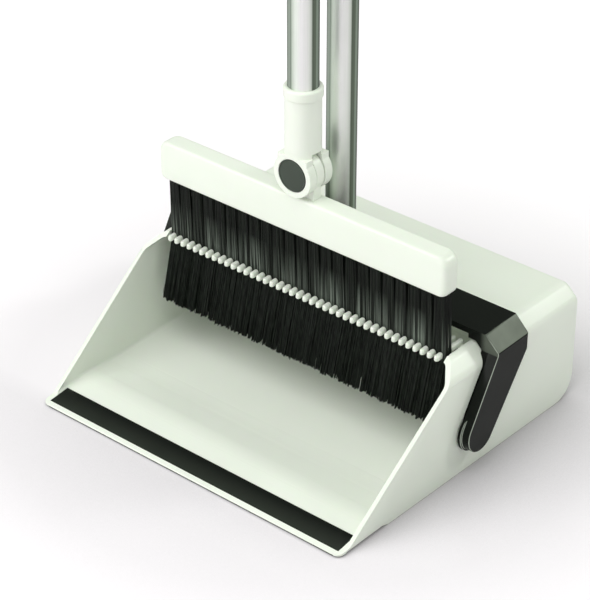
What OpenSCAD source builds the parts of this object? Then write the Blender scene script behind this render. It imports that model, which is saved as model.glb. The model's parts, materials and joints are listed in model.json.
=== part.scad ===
// Upright dustpan with a stored broom.
// The pan's base rests on z = 0, its lip points to -Y and the hopper to +Y. The origin is the centre of the base.
// A U-shaped bail turns on two pins in the pan's sides and carries the dustpan's pole.
// The broom's bristles hang through a comb between the pan's side walls.

/* [Pan] */
// Width of the pan at the lip
pan_w = 280; // [240:2:320]
// Length from the lip's nose to the rear wall
pan_l = 262; // [250:2:280]
// Height of the hopper's roof
pan_h = 92.8; // [88:0.2:93]
// Wall thickness of the moulding
wall_t = 3; // [2.5:0.1:3.5]
// Height of the sloped corner between the roof and each side
pan_chamfer = 11; // [9:0.5:13]
// How far each side leans outwards towards the rear, in degrees
side_angle = 1.45; // [0.5:0.05:1.5]
// Radius of the hopper's lower rear edge
rear_r = 20; // [12:1:24]

/* [Comb] */
// Distance between neighbouring fingers
finger_pitch = 6.18; // [6.0:0.01:6.2]
// Thickness of a finger
finger_t = 3.8; // [3:0.1:4]
// Number of fingers
finger_n = 41; // [31:2:41]

/* [Bail] */
// Depth of the bail's band, front to rear
bail_d = 36; // [32:1:38]
// Gap between the bail and the pan's sides
bail_gap = 0.7; // [0.6:0.1:1.5]
// Height of the pivots above the floor
pivot_z = 33.5; // [32:0.5:36]
// Radius of the bail's pivot stubs
stub_r = 5; // [4:0.5:6]

/* [Brush head] */
// Length of the brush block
block_l = 261; // [250:1:261]
// Thickness of the brush block
block_t = 16; // [15:0.5:18]
// Height of the brush block
block_h = 30.6; // [28:0.1:34]
// Height of the block's underside above the floor
block_z = 142; // [140:1:146]
// Height of the bristle tips above the floor
tip_z = 40; // [38:1:46]

/* [Swivel joint] */
// Radius of the swivel's discs
disc_r = 16.5; // [15:0.1:16.5]
// Thickness of each fork disc
disc_t = 7; // [6:0.5:8]
// Thickness of the tongue between the discs
tongue_t = 8; // [7:0.5:9]
// Radius of the swivel bolt
bolt_r = 3; // [2.5:0.1:3.5]

/* [Poles] */
// Outer radius of the tubes
tube_r = 11; // [10:0.1:11]
// Wall thickness of the tubes
tube_wall = 0.9; // [0.8:0.1:1.2]
// Length of each lower tube
lower_tube_l = 330; // [300:10:360]
// Length of each upper tube
upper_tube_l = 240; // [200:10:300]
// Length of the grips
grip_l = 120; // [100:5:140]
// Radius of the hanging holes
hang_r = 6; // [5:0.5:6]

/* [Hidden] */
$fn = 64;
eps = 0.01;
far = 400;

// Colours
white = [0.90, 0.93, 0.89];
charcoal = [0.15, 0.17, 0.16];
rubber = [0.17, 0.19, 0.17];
steel = [0.75, 0.78, 0.76];
bristle_black = [0.09, 0.10, 0.09];

// Pan
nose_y = -pan_l / 2;
rear_y = pan_l / 2;
nose_z = 1.2;
side_y = nose_y + 3;
blade_front = [nose_y + 3.8, 2.8];
blade_rear = [nose_y + 22, 4.6];
blade_t = 0.9;
blade_x = 136;
wiper_x = 134;
wiper_y = [nose_y + 0.3, nose_y + 6.5];
crest = [nose_y + 43, 7];
floor_z = 3.5;
floor_y = nose_y + 76;
step_y = nose_y + 45;
step_z = 1.8;
step_l = 6;
nose_r = 5;
// The oblique front edge of the side walls
rim_start = [nose_y + 11.3, 3.6];
rim_slope = 0.765;
// The opening in front of the hopper's roof, between the side flanges
flange_x = 129;
roof_y = 34;

// Comb
finger_z = pan_h - 3.2;
finger_h = 3.8;
finger_y = [-9.5, 21];
beam_y = [13.5, 20];
beam_h = 5;
comb_end_x = 133.5;

// Bail
bail_y = 41.5;
pivot_y = 8;
bail_x = 153;
bail_z = 102;
bail_chamfer = 11;
bail_in_z = 93.6;
arm_r = 14.5;
knee_z = [89, 80];
boss_r = 16;
boss_x = 144.3;
boss_t = 2.4;
rim_r = 56.8;
rim_x = 143.6;
relief_x = 126.6;
relief = [8, 3.6];
bore_gap = 0.06;
washer_x = 138.9;
washer_t = 1.2;
washer_r = 9;
screw_r = 2;
screw_l = 12;
screw_head_r = 4.5;
screw_head_h = 2.4;

// Pole on the bail
pole_y = 39;
spigot_h = 40;
fit_gap = 0.05;
collar_r = 14.5;
collar_h = 26;
dustpan_tube_z = bail_z + 2;
dustpan_tube_l = lower_tube_l + 110;

// Brush head
head_y = -2.6;
block_r = 6;
base_slot_h = 4;
base_slot_w = 12;
base_slot_y = 1;
// A tuft's front and rear faces, from the block's centre, at its root, at the comb and at its tip
tuft_t = 2;
tuft_root = [-2.9, 6.4];
tuft_comb = [-2.4, 8];
tuft_tip = [-13.5, 10];

// Swivel
axis_z = 191.4;
washer_gap = 0.9;
disc_in = tongue_t / 2 + washer_gap;
disc_out = disc_in + disc_t;
tongue_r = 16;
tongue_w = 26;
tongue_sink = 12;
fork_w = 26;
sleeve_r = 13;
sleeve_z = axis_z + disc_r + 1.1;
sleeve_top = 249;
sleeve_floor = 5;
bead_r = 14;
bead_h = 8;
cap_r = 12;
cap_gap = 0.35;
cap_h = 2.4;
bolt_head_r = 5.5;
bolt_head_h = 3;
swivel_washer_r = 11;
swivel_washer_t = 0.8;

// Tubes and grips
broom_tube_z = sleeve_z + sleeve_floor;
coupler_gap = 14;
coupler_r = 12.6;
coupler_plug = 25;
grip_r = 15;
grip_overlap = 70;
grip_gap = 0.1;
hang_t = 10;
hang_h = 36;
hang_w = 26;
dustpan_join_z = dustpan_tube_z + dustpan_tube_l;
dustpan_grip_z = dustpan_join_z + coupler_gap + upper_tube_l - grip_overlap;
broom_join_z = broom_tube_z + lower_tube_l;
broom_grip_z = broom_join_z + coupler_gap + upper_tube_l - grip_overlap;

// Extrudes a (Y, Z) outline along X, centred on x = 0
module along_x(width) {
    translate([-width / 2, 0, 0])
        rotate([90, 0, 90])
            linear_extrude(width)
                children();
}

// Extrudes an (X, Z) outline along Y from y = from to y = to
module along_y(from, to) {
    translate([0, to, 0])
        rotate([90, 0, 0])
            linear_extrude(to - from)
                children();
}

// A cylinder along X
module rod_x(r, from, to, y, z) {
    translate([from, y, z])
        rotate([0, 90, 0])
            cylinder(r = r, h = to - from);
}

// A cylinder along Y
module rod_y(r, from, to, x, z) {
    translate([x, from, z])
        rotate([-90, 0, 0])
            cylinder(r = r, h = to - from);
}

// A flat ring standing on z
module ring(r_out, r_in, z, h) {
    translate([0, 0, z])
        difference() {
            cylinder(r = r_out, h = h);
            translate([0, 0, -eps])
                cylinder(r = r_in, h = h + 2 * eps);
        }
}

// Rounds the corner at the origin of a shape that fills the quadrant x < 0, y < 0
module corner_trim(r) {
    translate([-r, -r])
        difference() {
            square(2 * r);
            circle(r);
        }
}

// Everything outside one side of the pan: its side plane and the sloped corner above it
module outside_of_side(inset) {
    translate([pan_w / 2 - inset, side_y, 0])
        rotate([0, 0, -side_angle])
            along_y(-far, far)
                polygon([
                    [0, -far], [0, pan_h - pan_chamfer - inset * (sqrt(2) - 1)],
                    [-far, pan_h - pan_chamfer - inset * (sqrt(2) - 1) + far], [far, far], [far, -far]
                ]);
}

module between_sides(inset) {
    difference() {
        children();
        outside_of_side(inset);
        mirror([1, 0, 0])
            outside_of_side(inset);
    }
}

// Side outline of the whole pan
module pan_outline() {
    difference() {
        polygon([
            [nose_y, nose_z], [nose_y + 0.6, nose_z + 1], blade_front, rim_start,
            rim_start + [far, far * rim_slope],
            [rear_y, far], [rear_y, 0],
            [step_y + step_l, 0], [step_y, step_z], [nose_y + 8, step_z], [nose_y + 7, nose_z]
        ]);
        translate([-far, pan_h])
            square(2 * far);
        translate([rear_y, 0])
            mirror([0, 1])
                corner_trim(rear_r);
        translate([rear_y, pan_h])
            corner_trim(4);
    }
}

// Side outline of the space inside the pan
module pan_space() {
    difference() {
        polygon([
            [nose_y - 10, blade_front[1] - 0.4], blade_front, blade_rear, crest - [8, 0.9], crest - [3, 0.1],
            crest + [3, -0.1], crest + [9, -0.8], [floor_y, floor_z],
            [rear_y - wall_t, floor_z], [rear_y - wall_t, pan_h - wall_t], [nose_y - 10, pan_h - wall_t]
        ]);
        translate([rear_y - wall_t, floor_z])
            mirror([0, 1])
                corner_trim(rear_r - wall_t);
    }
}

module blade_outline(inset) {
    polygon([
        blade_front + [inset, 0], blade_rear - [inset, 0],
        blade_rear - [inset, blade_t - inset], blade_front + [inset, inset - blade_t]
    ]);
}

module pan_body() {
    color(white)
        difference() {
            between_sides(0)
                along_x(pan_w + 40)
                    pan_outline();
            between_sides(wall_t)
                along_x(pan_w + 40)
                    pan_space();
            // Opening between the flanges, from the peaks to the roof's front edge
            translate([-flange_x, roof_y - 60, pan_h - wall_t - 1])
                cube([2 * flange_x, 60, 10]);
            // Bed of the lip blade
            along_x(2 * blade_x)
                blade_outline(0);
            // Bores of the bail's stubs
            rod_x(stub_r + bore_gap, -far / 2, far / 2, pivot_y, pivot_z);
            // Seats of the comb's ends
            for (side = [-1, 1])
                translate([side * (comb_end_x + 0.05) - (side > 0 ? 10 : 0), beam_y[0] - 0.05, finger_z - beam_h])
                    cube([10, beam_y[1] - beam_y[0] + 0.1, beam_h + 0.05]);
            // Rounded front corners
            for (side = [0, 1])
                mirror([side, 0, 0])
                    translate([pan_w / 2, nose_y, -1])
                        mirror([0, 1, 0])
                            linear_extrude(40)
                                corner_trim(nose_r);
        }
}

// Comb: a cross beam under a row of fingers, which point forwards and let the bristles through
module cleaning_comb() {
    color(white) {
        translate([-comb_end_x, beam_y[0], finger_z - beam_h])
            cube([2 * comb_end_x, beam_y[1] - beam_y[0], beam_h]);
        for (i = [-(finger_n - 1) / 2 : (finger_n - 1) / 2])
            translate([i * finger_pitch, 0, 0])
                finger();
    }
}

module finger() {
    r = finger_t / 2;
    translate([0, 0, finger_z - eps])
        linear_extrude(finger_h) {
            translate([-r, finger_y[0] + r])
                square([finger_t, finger_y[1] - finger_y[0] - 2 * r]);
            for (y = [finger_y[0] + r, finger_y[1] - r])
                translate([0, y])
                    circle(r, $fn = 24);
        }
}

// Dark strip let into the ramp behind the nose
module lip_blade() {
    color(rubber)
        along_x(2 * (blade_x - 0.1))
            blade_outline(0.1);
}

// Soft strip under the nose, which closes the gap to the floor
module floor_wiper() {
    color(rubber)
        translate([-wiper_x, wiper_y[0], 0])
            cube([2 * wiper_x, wiper_y[1] - wiper_y[0], nose_z - 0.05]);
}

// The point where a line from a far point touches the round end of the bail's arm
function arm_touch(point, side) =
    let (way = point - [pivot_y, pivot_z])
    let (angle = atan2(way[1], way[0]) + side * acos(arm_r / norm(way)))
    [pivot_y, pivot_z] + arm_r * [cos(angle), sin(angle)];

// Side outline of the bail: an upright band that bends forwards to the pivot
module bail_side() {
    front = [bail_y - bail_d / 2, knee_z[0]];
    rear = [bail_y + bail_d / 2, knee_z[1]];
    translate([pivot_y, pivot_z])
        circle(arm_r);
    polygon([
        arm_touch(front, 1), front, [front[0], bail_z], [rear[0], bail_z], rear, arm_touch(rear, -1)
    ]);
}

// Front outline of the bail's outside, with sloped upper corners
module bail_front() {
    top = bail_z - bail_chamfer;
    polygon([
        [-bail_x, -1], [-bail_x, top], [-bail_x + bail_chamfer, bail_z],
        [bail_x - bail_chamfer, bail_z], [bail_x, top], [bail_x, -1]
    ]);
}

module bail() {
    color(charcoal)
        difference() {
            union() {
                difference() {
                    intersection() {
                        along_x(2 * bail_x)
                            bail_side();
                        along_y(-100, 100)
                            bail_front();
                    }
                    // The pan's sides and their sloped corners, a small gap away
                    between_sides(-bail_gap)
                        translate([-far / 2, -100, -1])
                            cube([far, 200, bail_in_z + 1]);
                    // Room for the upper ends of the pan's oblique front edges as the bail tips forwards
                    rod_x(rim_r, -rim_x, rim_x, pivot_y, pivot_z);
                }
                for (side = [0, 1])
                    mirror([side, 0, 0]) {
                        rod_x(boss_r, boss_x, boss_x + boss_t, pivot_y, pivot_z);
                        rod_x(stub_r, washer_x + washer_t, boss_x + 1, pivot_y, pivot_z);
                    }
                translate([0, pole_y, bail_z - eps])
                    cylinder(r = tube_r - tube_wall - fit_gap, h = spigot_h);
            }
            // Relief along the band's lower front edge, which passes over the comb
            along_x(2 * relief_x)
                translate([bail_y - bail_d / 2, bail_in_z])
                    polygon([[-1, -1], [relief[0] + 1, -1], [relief[0], 0], [0, relief[1]], [-1, relief[1]]]);
            for (side = [0, 1])
                mirror([side, 0, 0])
                    rod_x(screw_r + fit_gap, washer_x, washer_x + screw_l + 0.5, pivot_y, pivot_z);
            translate([0, 0, bail_z + collar_h / 2])
                rod_y(screw_r + fit_gap, pole_y, pole_y + 40, 0, 0);
        }
}

// Washers and screws inside the pan, which keep the bail's stubs in their bores
module pivot_washers() {
    color(steel)
        for (side = [0, 1])
            mirror([side, 0, 0])
                difference() {
                    rod_x(washer_r, washer_x, washer_x + washer_t, pivot_y, pivot_z);
                    rod_x(screw_r + 0.15, washer_x - 5, washer_x + 5, pivot_y, pivot_z);
                }
}

module pivot_screws() {
    color(steel)
        for (side = [0, 1])
            mirror([side, 0, 0]) {
                rod_x(screw_r, washer_x - eps, washer_x + screw_l, pivot_y, pivot_z);
                rod_x(screw_head_r, washer_x - screw_head_h, washer_x, pivot_y, pivot_z);
            }
}

// Collar around the foot of the dustpan's pole
module pole_collar() {
    color(charcoal)
        translate([0, pole_y, 0])
            difference() {
                ring(collar_r, tube_r + fit_gap, bail_z, collar_h);
                translate([0, 0, bail_z + collar_h / 2])
                    rod_y(screw_r + fit_gap, 0, 40, 0, 0);
            }
}

module pole_screw() {
    color(steel)
        translate([0, pole_y, bail_z + collar_h / 2]) {
            rod_y(screw_r, 3, collar_r + 0.2, 0, 0);
            rod_y(screw_head_r - 1, collar_r + 0.1, collar_r + 1.6, 0, 0);
        }
}

// Tubes, couplers, grips and hanging caps are the same on both poles
module tube(z, l) {
    ring(tube_r, tube_r - tube_wall, z, l);
}

// A short band between two tubes with a plug into each of them
module coupler(z) {
    translate([0, 0, z - coupler_plug])
        cylinder(r = tube_r - tube_wall - fit_gap, h = coupler_gap + 2 * coupler_plug);
    translate([0, 0, z + 0.05])
        cylinder(r = coupler_r, h = coupler_gap - 0.1);
}

module grip(z) {
    top = z + grip_l;
    difference() {
        translate([0, 0, z])
            rotate_extrude()
                grip_outline();
        translate([0, 0, z - eps])
            cylinder(r = tube_r + grip_gap, h = grip_overlap + eps);
        // Socket of the hanging cap
        translate([0, 0, top - 12])
            cylinder(r = 8 + fit_gap, h = 12 + eps);
    }
}

// Half outline of a grip: a bead at the foot, a waist and a fuller top
module grip_outline() {
    waist = 900;
    difference() {
        square([grip_r, grip_l]);
        translate([grip_r - 1.6 + waist, grip_l * 0.45])
            circle(waist, $fn = 360);
        translate([grip_r, grip_l])
            corner_trim(3);
        translate([grip_r, 0])
            mirror([0, 1])
                corner_trim(2);
    }
}

// A flat loop with a hole to hang the pole up by
module hang_cap(z) {
    difference() {
        union() {
            translate([0, 0, z - 11.9])
                cylinder(r = 8, h = 12);
            translate([0, 0, z + 0.05])
                cylinder(r = grip_r - 0.4, h = 5);
            along_y(-hang_t / 2, hang_t / 2) {
                translate([-hang_w / 2, z + 2])
                    square([hang_w, hang_h - hang_w / 2]);
                translate([0, z + 2 + hang_h - hang_w / 2])
                    circle(hang_w / 2);
            }
        }
        rod_y(hang_r, -hang_t, hang_t, 0, z + 2 + hang_h - hang_w / 2);
    }
}

module dustpan_lower_tube() {
    color(steel)
        translate([0, pole_y, 0])
            difference() {
                tube(dustpan_tube_z, dustpan_tube_l);
                translate([0, 0, bail_z + collar_h / 2])
                    rod_y(screw_r + fit_gap, 0, 40, 0, 0);
            }
}

module dustpan_coupler() {
    color(charcoal)
        translate([0, pole_y, 0])
            coupler(dustpan_join_z);
}

module dustpan_upper_tube() {
    color(steel)
        translate([0, pole_y, 0])
            tube(dustpan_join_z + coupler_gap, upper_tube_l);
}

module dustpan_grip() {
    color(white)
        translate([0, pole_y, 0])
            grip(dustpan_grip_z);
}

module dustpan_hang_cap() {
    color(charcoal)
        translate([0, pole_y, 0])
            hang_cap(dustpan_grip_z + grip_l);
}

// A rectangle in (X, Z) with rounded corners
module rounded_rect(w, z, h, r) {
    difference() {
        translate([-w / 2, z])
            square([w, h]);
        for (side = [0, 1])
            mirror([side, 0]) {
                translate([w / 2, z + h])
                    corner_trim(r);
                translate([w / 2, z])
                    mirror([0, 1])
                        corner_trim(r / 2);
            }
    }
}

module head_block() {
    color(white)
        difference() {
            along_y(head_y - block_t / 2, head_y + block_t / 2)
                rounded_rect(block_l, block_z, block_h, block_r);
            translate([-block_l / 2 + 2.5, head_y + base_slot_y - base_slot_w / 2, block_z - eps])
                cube([block_l - 5, base_slot_w, base_slot_h + eps]);
            translate([-tongue_w / 2 - fit_gap, head_y - tongue_t / 2 - fit_gap, block_z + block_h - tongue_sink])
                cube([tongue_w + 2 * fit_gap, tongue_t + 2 * fit_gap, tongue_sink + 1]);
        }
}

// Strip in the block's underside that holds the tufts
module bristle_base() {
    color(bristle_black)
        translate([-block_l / 2 + 2.6, head_y + base_slot_y - base_slot_w / 2 + 0.1, block_z])
            cube([block_l - 5.2, base_slot_w - 0.2, base_slot_h - 0.1]);
}

// Bristles: one flat tuft in each gap between the comb's fingers, spreading a little towards the tips
module bristle_tufts() {
    color(bristle_black)
        for (i = [-(finger_n + 1) / 2 : (finger_n - 1) / 2])
            translate([(i + 0.5) * finger_pitch, head_y, 0])
                along_x(tuft_t)
                    polygon([
                        [tuft_root[0], block_z - 0.1], [tuft_root[1], block_z - 0.1],
                        [tuft_comb[1], finger_z], [tuft_tip[1], tip_z],
                        [tuft_tip[0], tip_z], [tuft_comb[0], finger_z]
                    ]);
}

// Tongue that stands in the block's top and is held by the fork
module swivel_tongue() {
    color(white)
        difference() {
            along_y(head_y - tongue_t / 2, head_y + tongue_t / 2) {
                translate([0, axis_z])
                    circle(tongue_r);
                translate([-tongue_w / 2, block_z + block_h - tongue_sink + 0.1])
                    square([tongue_w, axis_z - block_z - block_h + tongue_sink - 0.1]);
            }
            rod_y(bolt_r + bore_gap, head_y - 20, head_y + 20, 0, axis_z);
        }
}

// Fork with two discs under a sleeve for the broom's tube
module swivel_socket() {
    color(white)
        translate([0, head_y, 0])
            difference() {
                union() {
                    for (side = [0, 1])
                        mirror([0, side, 0])
                            along_y(disc_in, disc_out) {
                                translate([0, axis_z])
                                    circle(disc_r);
                                translate([-fork_w / 2, axis_z])
                                    square([fork_w, sleeve_z - axis_z + 3]);
                            }
                    translate([0, 0, sleeve_z])
                        cylinder(r = sleeve_r, h = sleeve_top - sleeve_z);
                }
                translate([0, 0, broom_tube_z])
                    cylinder(r = tube_r + fit_gap, h = 100);
                // Corners of the fork outside the sleeve
                translate([0, 0, sleeve_z - 3])
                    ring(40, sleeve_r, 0, 20);
                rod_y(bolt_r + fit_gap, -30, 30, 0, axis_z);
                for (side = [0, 1])
                    mirror([0, side, 0]) {
                        rod_y(cap_r + cap_gap, disc_out - cap_h, 30, 0, axis_z);
                        rod_y(bolt_head_r + 0.3, disc_out - cap_h - bolt_head_h - 0.1, 30, 0, axis_z);
                    }
            }
}

// Bead at the sleeve's mouth
module socket_collar() {
    color(white)
        translate([0, head_y, sleeve_top])
            rotate_extrude()
                difference() {
                    translate([tube_r + fit_gap, 0.05])
                        square([bead_r - tube_r - fit_gap, bead_h]);
                    translate([bead_r, bead_h + 0.05])
                        corner_trim(2);
                    translate([bead_r, 0.05])
                        mirror([0, 1])
                            corner_trim(1);
                }
}

module swivel_bolt() {
    color(steel)
        translate([0, head_y, 0]) {
            rod_y(bolt_r, -disc_out + cap_h + 0.5, disc_out - cap_h - 0.4, 0, axis_z);
            rod_y(bolt_head_r, -disc_out + cap_h + 0.1, -disc_out + cap_h + bolt_head_h, 0, axis_z);
        }
}

module swivel_nut() {
    color(steel)
        translate([0, head_y, 0])
            difference() {
                translate([0, disc_out - cap_h - bolt_head_h, axis_z])
                    rotate([-90, 0, 0])
                        cylinder(r = bolt_head_r, h = bolt_head_h - 0.1, $fn = 6);
                rod_y(bolt_r + fit_gap, 0, 30, 0, axis_z);
            }
}

module swivel_washers() {
    color(charcoal)
        translate([0, head_y, 0])
            for (side = [0, 1])
                mirror([0, side, 0])
                    difference() {
                        rod_y(swivel_washer_r, disc_in - swivel_washer_t, disc_in, 0, axis_z);
                        rod_y(bolt_r + fit_gap, 0, 30, 0, axis_z);
                    }
}

// Dark round caps over the bolt's head and nut
module swivel_cap() {
    rod_y(cap_r, disc_out - cap_h + 0.1, disc_out + 0.3, 0, axis_z);
}

module swivel_front_cap() {
    color(charcoal)
        translate([0, head_y, 0])
            mirror([0, 1, 0])
                swivel_cap();
}

module swivel_rear_cap() {
    color(charcoal)
        translate([0, head_y, 0])
            swivel_cap();
}

module broom_lower_tube() {
    color(steel)
        translate([0, head_y, 0])
            tube(broom_tube_z + 0.05, lower_tube_l - 0.05);
}

module broom_coupler() {
    color(charcoal)
        translate([0, head_y, 0])
            coupler(broom_join_z);
}

module broom_upper_tube() {
    color(steel)
        translate([0, head_y, 0])
            tube(broom_join_z + coupler_gap, upper_tube_l);
}

module broom_grip() {
    color(white)
        translate([0, head_y, 0])
            grip(broom_grip_z);
}

module broom_hang_cap() {
    color(charcoal)
        translate([0, head_y, 0])
            hang_cap(broom_grip_z + grip_l);
}

pan_body();
cleaning_comb();
lip_blade();
floor_wiper();
bail();
pivot_screws();
pivot_washers();
pole_collar();
pole_screw();
dustpan_lower_tube();
dustpan_coupler();
dustpan_upper_tube();
dustpan_grip();
dustpan_hang_cap();
head_block();
bristle_base();
bristle_tufts();
swivel_tongue();
swivel_socket();
socket_collar();
swivel_bolt();
swivel_nut();
swivel_washers();
swivel_front_cap();
swivel_rear_cap();
broom_lower_tube();
broom_coupler();
broom_upper_tube();
broom_grip();
broom_hang_cap();
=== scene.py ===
"""Looks of the upright dustpan with its stored broom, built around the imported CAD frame.

Lengths are in metres, in the CAD's frame: the base on z = 0, the lip towards -Y, the hopper towards +Y.
"""

import json
import math
import random

import bmesh
import bpy
from mathutils import Matrix, Vector

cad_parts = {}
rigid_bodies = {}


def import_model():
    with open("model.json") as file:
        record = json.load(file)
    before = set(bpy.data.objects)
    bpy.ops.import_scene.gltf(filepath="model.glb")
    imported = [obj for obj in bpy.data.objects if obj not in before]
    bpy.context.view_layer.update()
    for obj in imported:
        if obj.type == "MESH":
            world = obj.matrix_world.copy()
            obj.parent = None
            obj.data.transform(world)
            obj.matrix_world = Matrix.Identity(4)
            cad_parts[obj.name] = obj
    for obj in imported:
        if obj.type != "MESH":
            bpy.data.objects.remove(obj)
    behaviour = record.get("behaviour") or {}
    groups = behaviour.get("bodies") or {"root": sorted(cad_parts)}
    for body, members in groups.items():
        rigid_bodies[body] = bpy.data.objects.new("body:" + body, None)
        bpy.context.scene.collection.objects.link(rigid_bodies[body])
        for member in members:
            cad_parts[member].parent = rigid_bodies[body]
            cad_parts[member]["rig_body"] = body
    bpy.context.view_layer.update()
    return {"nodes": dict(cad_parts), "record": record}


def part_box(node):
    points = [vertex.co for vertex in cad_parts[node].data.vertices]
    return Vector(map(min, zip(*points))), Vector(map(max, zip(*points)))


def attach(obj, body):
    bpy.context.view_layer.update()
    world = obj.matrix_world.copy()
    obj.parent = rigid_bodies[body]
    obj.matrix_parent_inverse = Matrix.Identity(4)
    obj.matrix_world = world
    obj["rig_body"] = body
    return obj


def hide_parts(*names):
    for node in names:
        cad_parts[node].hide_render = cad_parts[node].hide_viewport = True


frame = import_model()
NODES = frame["nodes"]
MM = 0.001

# Camera: its direction and lens, and the point it looks at
CAMERA_AZIMUTH = 40.29
CAMERA_ELEVATION = 32.34
CAMERA_DISTANCE = 1.6268
CAMERA_AIM = Vector((0.0099, -0.0229, 0.0989))
CAMERA_LENS = 138.96


# ---------------------------------------------------------------- materials

# Where painted light and painted highlights fade in or out, as pairs of coordinates
RUBBER_PAINTED_LIGHT_Y = (-0.126, -0.111)
RUBBER_PAINTED_LIGHT_Z = (0.0014, 0.0022)
HIGHLIGHT_START_Z = (0.086, 0.097)
HIGHLIGHT_END_Z = (0.099, 0.122)
BAIL_ARM_X = (0.137, 0.142)
BAIL_ARM_Z = (0.070, 0.094)


class Nodes:
    """Short calls for building one node tree."""

    def __init__(self, tree):
        self.tree = tree

    def add(self, kind, **values):
        """Adds a node. A value names an attribute, or an input socket when no attribute has that name."""
        node = self.tree.nodes.new(kind)
        for name, value in values.items():
            if hasattr(node, name):
                setattr(node, name, value)
            else:
                self.feed(node.inputs[name.replace("_", " ")], value)
        return node

    def feed(self, socket, value):
        """Links an output socket to an input socket, or sets the input's value."""
        if isinstance(value, bpy.types.NodeSocket):
            self.tree.links.new(value, socket)
        else:
            socket.default_value = value

    def math(self, operation, a, b=0.5):
        node = self.add("ShaderNodeMath", operation=operation)
        self.feed(node.inputs[0], a)
        self.feed(node.inputs[1], b)
        return node.outputs[0]

    def span(self, value, from_low, from_high, low, high):
        """Maps a value from one range to another, clamped."""
        node = self.add("ShaderNodeMapRange")
        for i, number in enumerate((value, from_low, from_high, low, high)):
            self.feed(node.inputs[i], number)
        return node.outputs[0]

    def mix(self, factor, a, b):
        node = self.add("ShaderNodeMix", data_type="RGBA")
        self.feed(node.inputs[0], factor)
        self.feed(node.inputs[6], a)
        self.feed(node.inputs[7], b)
        return node.outputs[2]

    def ramp(self, factor, stops):
        """A colour ramp from (position, grey or colour) stops."""
        node = self.add("ShaderNodeValToRGB")
        self.feed(node.inputs[0], factor)
        elements = node.color_ramp.elements
        while len(elements) < len(stops):
            elements.new(0.5)
        for element, (position, colour) in zip(elements, stops):
            element.position = position
            element.color = rgba(colour)
        return node.outputs[0]

    def place(self, stretch=(1, 1, 1)):
        """The point in the object's own frame, stretched."""
        point = self.add("ShaderNodeTexCoord").outputs["Object"]
        mapping = self.add("ShaderNodeMapping")
        self.feed(mapping.inputs["Vector"], point)
        mapping.inputs["Scale"].default_value = stretch
        return mapping.outputs[0]

    def noise(self, scale, detail=2.0, stretch=(1, 1, 1), roughness=0.5):
        node = self.add("ShaderNodeTexNoise")
        self.feed(node.inputs["Vector"], self.place(stretch))
        node.inputs["Scale"].default_value = scale
        node.inputs["Detail"].default_value = detail
        node.inputs["Roughness"].default_value = roughness
        return node.outputs[0]

    def bump(self, height, strength, distance, normal=None):
        node = self.add("ShaderNodeBump")
        node.inputs["Strength"].default_value = strength
        node.inputs["Distance"].default_value = distance
        self.feed(node.inputs["Height"], height)
        if normal is not None:
            self.feed(node.inputs["Normal"], normal)
        return node.outputs[0]


def rgba(colour):
    if isinstance(colour, (int, float)):
        colour = (colour, colour, colour)
    return (*colour[:3], 1.0)


def new_material(name):
    material = bpy.data.materials.new(name)
    material.use_nodes = True
    material.node_tree.nodes.clear()
    tree = Nodes(material.node_tree)
    shader = tree.add("ShaderNodeBsdfPrincipled")
    output = tree.add("ShaderNodeOutputMaterial")
    tree.feed(output.inputs["Surface"], shader.outputs[0])
    return material, tree, shader


def moulded_plastic(
    name, light, dark, rough, grain, grain_depth, crevice, specular=0.5, scuff=0.06, subsurface=0.0
):
    """Moulded plastic: faint cloudy tint, spark-eroded grain, handling marks and painted shade darkening
    its crevices.
    """
    material, tree, shader = new_material(name)
    clouds = tree.noise(14, 3)
    colour = tree.mix(tree.span(clouds, 0.35, 0.65, 0, 1), rgba(light), rgba(dark))
    # Painted shade: ambient occlusion darkens the colour in crevices and corners towards a deeper tone
    hollow = tree.add("ShaderNodeAmbientOcclusion", samples=6)
    hollow.inputs["Distance"].default_value = 0.012
    crevice_shade = tree.span(hollow.outputs["AO"], 0.0, 0.85, crevice, 0.0)
    colour = tree.mix(crevice_shade, colour, rgba([c * 0.55 for c in dark]))
    tree.feed(shader.inputs["Base Color"], colour)
    flow = tree.noise(7, 4, (1, 1, 3))
    marks = tree.noise(160, 5, (1, 0.06, 1), 0.65)
    polish = tree.span(flow, 0.3, 0.7, rough - 0.04, rough + 0.05)
    scuffs = tree.span(marks, 0.6, 0.75, 0.0, scuff)
    tree.feed(shader.inputs["Roughness"], tree.math("ADD", polish, scuffs))
    skin = tree.noise(grain, 3)
    waves = tree.noise(60, 2)
    normal = tree.bump(waves, 0.05, 0.0004)
    tree.feed(shader.inputs["Normal"], tree.bump(skin, grain_depth, 0.00006, normal))
    shader.inputs["Specular IOR Level"].default_value = specular
    if subsurface:
        shader.inputs["Subsurface Weight"].default_value = subsurface
        shader.inputs["Subsurface Radius"].default_value = (0.6, 1.0, 0.5)
        shader.inputs["Subsurface Scale"].default_value = 0.003
    return material


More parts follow.
